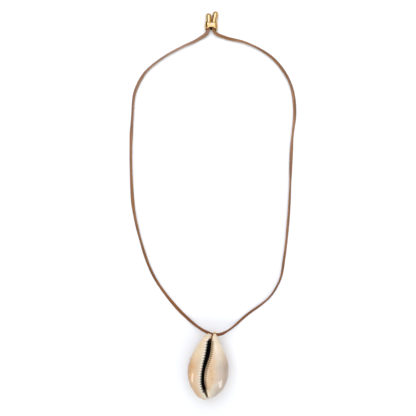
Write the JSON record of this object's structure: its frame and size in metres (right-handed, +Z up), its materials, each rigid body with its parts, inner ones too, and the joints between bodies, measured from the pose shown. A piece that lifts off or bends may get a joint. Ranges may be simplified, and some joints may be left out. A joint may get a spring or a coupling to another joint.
{
  "type": "cowrie shell necklace",
  "caption": "Cowrie shell pendant, slit side up, on a flat silk cord laid in a loop, with a gold bail, a gold slide bead and gold end caps.",
  "frame": {"origin": "on the surface the necklace lies on, under the middle of the box that holds the shell, the bail, the slide bead and the end caps", "axes": "+X to the right of the laid loop, +Y from the shell towards the end caps, +Z up from the surface; the shell lies with its slit side up"},
  "size_m": [0.1334, 0.3032, 0.0251],
  "materials": {
    "shell": "natural gloss shell, cream and tan",
    "gold": "polished gold",
    "silk": "mauve-brown silk, soft sheen"
  },
  "bodies": {
    "root": {"cowrie_shell": "shell", "bail": "gold", "cord": "silk", "slide_bead": "gold", "end_cap_left": "gold", "end_cap_right": "gold"}
  },
  "joints": []
}
